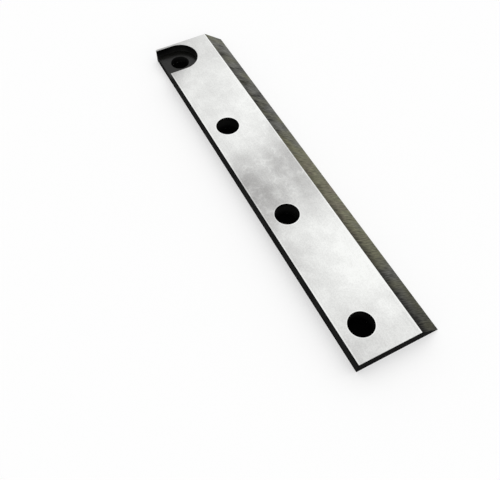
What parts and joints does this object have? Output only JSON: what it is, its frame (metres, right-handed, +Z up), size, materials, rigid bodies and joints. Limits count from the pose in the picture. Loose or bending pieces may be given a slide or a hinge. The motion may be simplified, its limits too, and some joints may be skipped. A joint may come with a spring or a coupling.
{
  "type": "shear blade",
  "caption": "Flat steel shear blade with a ground face, a long bevel down to a straight cutting edge, plain bolt holes, and a counterbore open at the back edge near one end.",
  "frame": {"origin": "middle of the underside, on the surface that the blade lies on", "axes": "+Z up out of the ground face, +X along the blade from the counterbore's end to the plain end, +Y from the back edge to the cutting edge"},
  "size_m": [0.321, 0.062, 0.012],
  "materials": {
    "blade_steel": "hardened tool steel, surface-ground bright on the face and the bevel, black scale on the back, the ends and inside the holes and the counterbore"
  },
  "bodies": {
    "root": {"blade": "blade_steel"}
  },
  "joints": []
}
